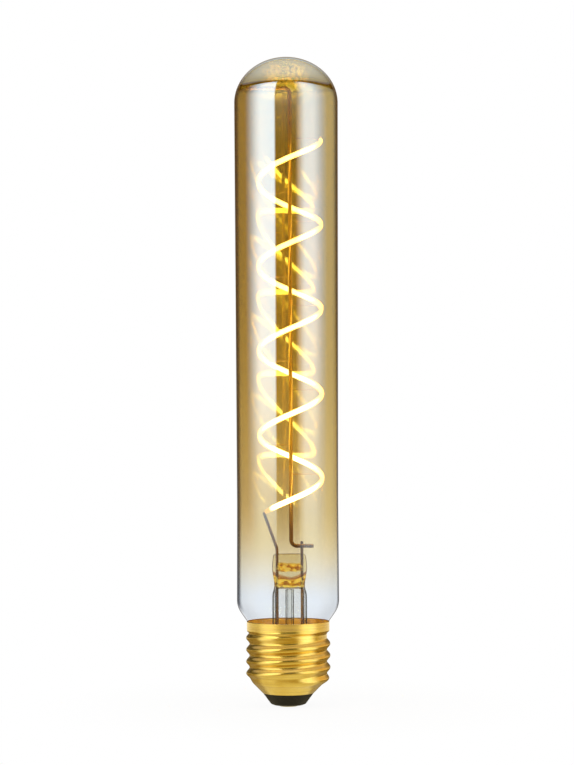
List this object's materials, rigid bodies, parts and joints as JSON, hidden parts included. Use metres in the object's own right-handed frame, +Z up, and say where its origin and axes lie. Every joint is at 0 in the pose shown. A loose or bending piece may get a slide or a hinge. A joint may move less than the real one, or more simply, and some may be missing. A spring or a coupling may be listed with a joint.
{
  "type": "tubular filament lamp",
  "caption": "Tubular amber glass lamp with a helical LED filament on a central wire post and an E27 screw cap, sealed in one piece.",
  "frame": {"origin": "centre of the end contact's flat face", "axes": "+Z up the lamp from the end contact to the dome, +X to the right seen from the front, -Y to the front"},
  "size_m": [0.032, 0.032, 0.2],
  "materials": {
    "amber_glass": "clear with an amber lustre coat that fades out above the cap",
    "clear_glass": "clear",
    "brass_shell": "satin",
    "black_insulator": "smooth black",
    "contact_metal": "dull",
    "cement": "matt",
    "lit_strip": "phosphor silicone",
    "tab_metal": "satin",
    "wire_metal": "drawn wire",
    "thin_wire_metal": "drawn wire",
    "board_laminate": "laminate",
    "chip_plastic": "moulded",
    "capacitor_sleeve": "sleeve",
    "resistor_ceramic": "coated"
  },
  "bodies": {
    "root": {"glass_envelope": "amber_glass", "screw_shell": "brass_shell", "cap_insulator": "black_insulator", "centre_contact": "contact_metal", "basing_cement": "cement", "glass_stem": "clear_glass", "exhaust_tube": "clear_glass", "filament": "lit_strip", "lower_terminal": "tab_metal", "upper_terminal": "tab_metal", "filament_lead": "wire_metal", "post_lead": "wire_metal", "centre_post": "wire_metal", "upper_jumper": "thin_wire_metal", "driver_board": "board_laminate", "driver_chip": "chip_plastic", "rectifier": "chip_plastic", "buffer_capacitor": "capacitor_sleeve", "fuse_resistor": "resistor_ceramic", "shell_wire": "thin_wire_metal", "support_wire_1": "thin_wire_metal", "support_wire_2": "thin_wire_metal", "support_wire_3": "thin_wire_metal", "support_wire_4": "thin_wire_metal", "support_wire_5": "thin_wire_metal", "support_wire_6": "thin_wire_metal", "support_wire_7": "thin_wire_metal", "support_wire_8": "thin_wire_metal"}
  },
  "joints": []
}
